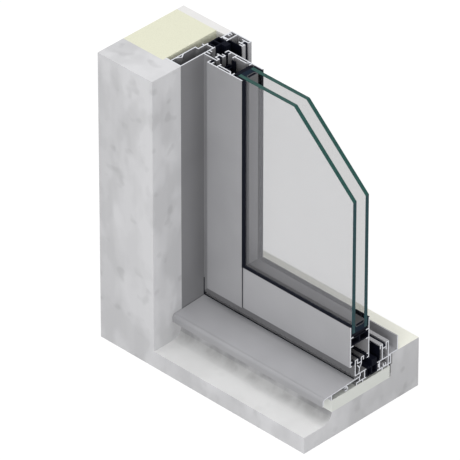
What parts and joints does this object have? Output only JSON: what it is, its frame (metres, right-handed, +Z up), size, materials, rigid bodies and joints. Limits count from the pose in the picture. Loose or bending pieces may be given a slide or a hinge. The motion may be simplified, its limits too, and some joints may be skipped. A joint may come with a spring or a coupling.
{
  "type": "sliding window corner sample",
  "caption": "Cut corner of a sliding window: double-glazed aluminium sash on a two-track thermally broken frame, set in an insulated masonry wall.",
  "frame": {"origin": "middle of the flat underside", "axes": "+X along the window's width towards the cut end, +Y from the weather side to the room, +Z up"},
  "size_m": [0.361, 0.207, 0.433],
  "materials": {
    "concrete": "cast grey concrete, cloudy, matt",
    "insulation": "cream rigid foam, matt",
    "plaster": "smooth white plaster, matt",
    "frame_aluminium": "satin silver anodised",
    "break_plastic": "glass-filled plastic, black, matt",
    "rail_black": "black running rail, satin",
    "flashing_aluminium": "satin silver anodised",
    "liner_aluminium": "satin silver anodised",
    "angle_grey": "satin grey",
    "galvanised_strip": "galvanised, dull",
    "sash_aluminium": "satin silver anodised",
    "brush_pile": "dense black pile",
    "clear_glass": "clear float glass with teal edges",
    "edge_sealant": "grey sealant",
    "spacer_metal": "mill finish",
    "glazing_rubber": "black rubber",
    "packer_plastic": "black plastic",
    "cover_plastic": "black plastic cover, satin",
    "roller_nylon": "dark nylon",
    "carriage_steel": "zinc plated"
  },
  "bodies": {
    "root": {"pier_outer_leaf": "concrete", "sill_block": "concrete", "pier_insulation": "insulation", "sill_insulation": "insulation", "pier_inner_plaster": "plaster", "sill_outer_profile": "frame_aluminium", "sill_inner_profile": "frame_aluminium", "jamb_outer_profile": "frame_aluminium", "jamb_inner_profile": "frame_aluminium", "sill_thermal_break": "break_plastic", "jamb_thermal_break": "break_plastic", "sash_stile_break": "break_plastic", "sash_rail_break": "break_plastic", "sill_outer_rail": "rail_black", "sill_inner_rail": "rail_black", "jamb_outer_rail": "rail_black", "jamb_inner_rail": "rail_black", "sill_flashing": "flashing_aluminium", "reveal_liner": "liner_aluminium", "room_angle": "angle_grey", "sill_anchor_strip": "galvanised_strip", "sash_stile_outer": "sash_aluminium", "sash_stile_inner": "sash_aluminium", "sash_rail_outer": "sash_aluminium", "sash_rail_inner": "sash_aluminium", "sash_rail_outer_brush": "brush_pile", "sash_stile_outer_brush": "brush_pile", "sash_rail_inner_brush": "brush_pile", "sash_stile_inner_brush": "brush_pile", "glass_pane_outer": "clear_glass", "glass_pane_inner": "clear_glass", "edge_sealant_bottom": "edge_sealant", "edge_sealant_side": "edge_sealant", "spacer_bottom": "spacer_metal", "spacer_side": "spacer_metal", "glazing_seal_outer_bottom": "glazing_rubber", "glazing_seal_outer_side": "glazing_rubber", "glazing_seal_inner_bottom": "glazing_rubber", "glazing_seal_inner_side": "glazing_rubber", "setting_blocks": "packer_plastic", "side_packer": "packer_plastic", "sill_track_cover": "cover_plastic", "jamb_track_cover": "cover_plastic", "roller_wheel": "roller_nylon", "roller_carriage": "carriage_steel"}
  },
  "joints": []
}
